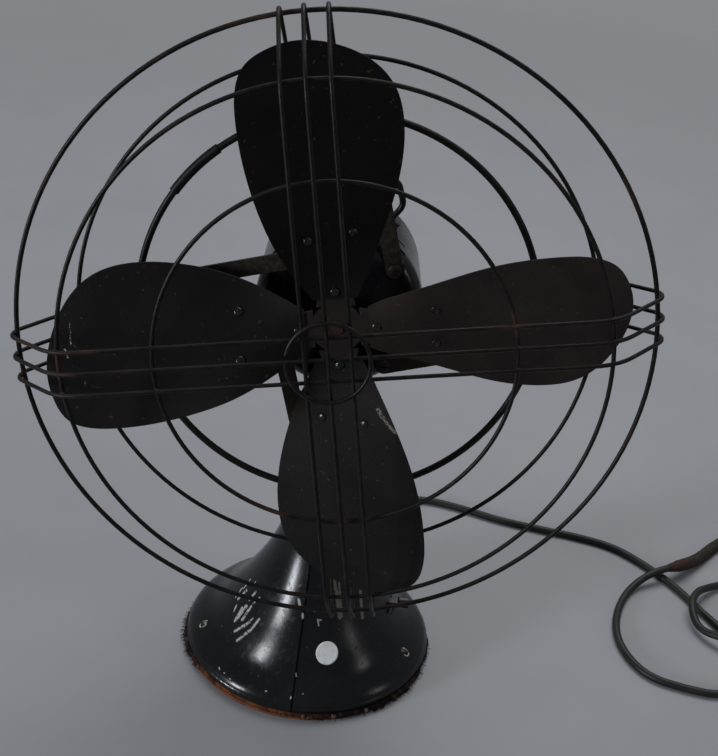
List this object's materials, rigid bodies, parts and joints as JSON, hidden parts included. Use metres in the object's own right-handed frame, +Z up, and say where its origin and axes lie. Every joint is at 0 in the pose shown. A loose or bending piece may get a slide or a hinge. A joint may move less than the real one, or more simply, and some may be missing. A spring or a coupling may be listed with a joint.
{
  "type": "oscillating desk fan",
  "caption": "Desk fan with a wire guard, riveted blades, a motor drum that tilts and oscillates on a creased pedestal, and a mains cord with its plug.",
  "frame": {"origin": "centre of the base plate's underside, on the table", "axes": "+Z up, -Y to the fan's front, +X to the viewer's right"},
  "size_m": [0.7154, 0.4144, 0.5717],
  "materials": {
    "black_enamel": "gloss, worn",
    "drum_enamel": "gloss, worn",
    "guard_wire": "dull, rusty in places",
    "blade_enamel": "satin, dusty",
    "cast_iron": "painted",
    "rusty_plate": "rusty",
    "felt": "decayed",
    "steel": "dull",
    "old_steel": "rusty",
    "lamination": "dull",
    "copper": "varnished wire",
    "bronze": "plain",
    "bakelite": "dull",
    "knob_plastic": "gloss",
    "cord_rubber": "satin",
    "relief_rubber": "dull",
    "brass": "plain"
  },
  "bodies": {
    "base": {"base_shell": "black_enamel", "base_plate": "rusty_plate", "base_felt": "felt", "base_screws": "steel", "switch_housing": "bakelite", "choke_core": "lamination", "choke_coil": "copper", "cord_relief": "relief_rubber", "neck_casting": "cast_iron", "neck_screw": "old_steel", "power_cord": "cord_rubber", "cord_coil": "cord_rubber", "plug_body": "relief_rubber", "plug_prongs": "brass"},
    "speed_lever": {"switch_lever": "steel", "lever_knob": "knob_plastic"},
    "trunnion": {"trunnion": "cast_iron", "swivel_post": "steel", "thrust_washer": "bronze", "tilt_bolt": "old_steel"},
    "tilt_knob": {"tilt_knob": "old_steel"},
    "link": {"link_rod": "old_steel"},
    "motor": {"motor_housing": "drum_enamel", "motor_rear_cover": "drum_enamel", "tie_screws": "old_steel", "shaft_bushes": "bronze", "stator_core": "lamination", "stator_windings": "copper", "swivel_saddle": "cast_iron", "saddle_screws": "old_steel", "carry_handle": "guard_wire", "handle_feet": "guard_wire", "gearbox_case": "cast_iron", "gearbox_cover": "cast_iron", "gearbox_screws": "old_steel", "guard_mount_ring": "guard_wire", "ring_sleeve": "guard_wire", "guard_rear_ring": "guard_wire", "guard_outer_ring": "guard_wire", "guard_front_ring": "guard_wire", "guard_inner_ring": "guard_wire", "guard_centre_ring": "guard_wire", "guard_cross_wires": "guard_wire", "guard_upright_wires": "guard_wire", "guard_straps": "guard_wire", "strap_screws": "old_steel"},
    "rotor": {"rotor_shaft": "old_steel", "rotor_core": "lamination", "fan_spider": "blade_enamel", "hub_screw": "old_steel", "blade_rivets": "blade_enamel", "shaft_worm": "steel", "fan_blade_1": "blade_enamel", "fan_blade_2": "blade_enamel", "fan_blade_3": "blade_enamel", "fan_blade_4": "blade_enamel"},
    "cross_shaft": {"cross_shaft": "steel", "cross_wheel": "bronze"},
    "crank": {"crank_shaft": "steel", "crank_wheel": "bronze"}
  },
  "joints": [
    {"name": "lever_swing", "type": "hinge", "parent": "base", "child": "speed_lever", "pos_m": [0.02993, 0.00209, 0.046], "axis": [0, 0, 1], "range_deg": [-20, 20]},
    {"name": "head_tilt", "type": "hinge", "parent": "base", "child": "trunnion", "pos_m": [0, 0, 0.235], "axis": [1, 0, 0], "range_deg": [-20, 20]},
    {"name": "knob_turn", "type": "hinge", "parent": "trunnion", "child": "tilt_knob", "pos_m": [0, 0, 0.235], "axis": [1, 0, 0], "range_deg": [0, 180]},
    {"name": "head_swivel", "type": "hinge", "parent": "trunnion", "child": "motor", "pos_m": [0, 0, 0.235], "axis": [0, 0.1097, 0.994], "range_deg": [-30, 28]},
    {"name": "link_swing", "type": "hinge", "parent": "trunnion", "child": "link", "pos_m": [0.027, 0.0034, 0.26581], "axis": [0, 0.1097, 0.994], "range_deg": [-24.5, 23]},
    {"name": "rotor_spin", "type": "hinge", "parent": "motor", "child": "rotor", "pos_m": [0, 0.01163, 0.34036], "axis": [0.0819, -0.9906, 0.1094], "continuous": true},
    {"name": "cross_spin", "type": "hinge", "parent": "motor", "child": "cross_shaft", "pos_m": [-0.00508, 0.07162, 0.32066], "axis": [0.9966, 0.0814, -0.009], "continuous": true},
    {"name": "crank_spin", "type": "hinge", "parent": "motor", "child": "crank", "pos_m": [0.0098, 0.08581, 0.31909], "axis": [0, 0.1097, 0.994], "continuous": true}
  ],
  "couplings": [
    {"joint": "cross_spin", "follows": "rotor_spin", "ratio": -0.0625},
    {"joint": "crank_spin", "follows": "rotor_spin", "ratio": 0.0039062},
    {"joint": "link_swing", "follows": "head_swivel", "ratio": 0.8}
  ]
}
